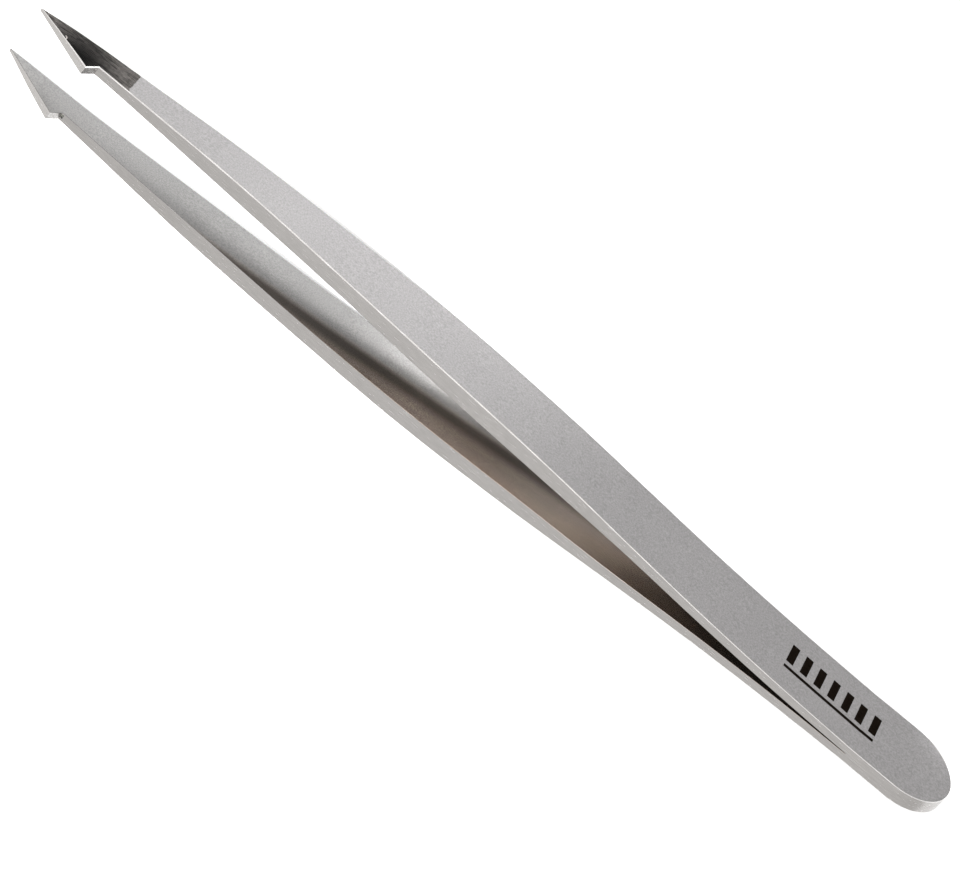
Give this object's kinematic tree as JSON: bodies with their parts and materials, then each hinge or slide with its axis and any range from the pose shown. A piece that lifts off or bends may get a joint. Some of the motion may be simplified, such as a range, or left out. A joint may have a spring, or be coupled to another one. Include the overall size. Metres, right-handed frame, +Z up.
{
  "type": "slant tweezers",
  "caption": "Slant-tip tweezers: two bowed spring-steel arms fused at a rounded heel, with ground, bevel-cut tips that meet when pinched.",
  "frame": {"origin": "bottom centre of the whole object, which lies on the straight run of its lower edges", "axes": "+X from the heel to the tips, +Y across the opening from the front arm to the rear arm, +Z up across the width of the arms"},
  "size_m": [0.095, 0.0072, 0.009],
  "materials": {
    "satin_steel": "bead-blasted satin, tips ground",
    "weld_steel": "fused and ground flush"
  },
  "bodies": {
    "heel": {"front_arm_heel": "satin_steel", "rear_arm_heel": "satin_steel", "heel_weld": "weld_steel"},
    "front_arm": {"front_arm_blade": "satin_steel"},
    "rear_arm": {"rear_arm_blade": "satin_steel"}
  },
  "joints": [
    {"name": "front_arm_flex", "type": "hinge", "parent": "heel", "child": "front_arm", "pos_m": [-0.02749, -0.00069, 0.0043], "axis": [0.0131, 0, 0.9999], "range_deg": [0, 1.66], "stiffness_Nm_per_rad": 1.9},
    {"name": "rear_arm_flex", "type": "hinge", "parent": "heel", "child": "rear_arm", "pos_m": [-0.02749, 0.00069, 0.0043], "axis": [-0.0131, 0, -0.9999], "range_deg": [0, 1.66], "stiffness_Nm_per_rad": 1.9}
  ]
}
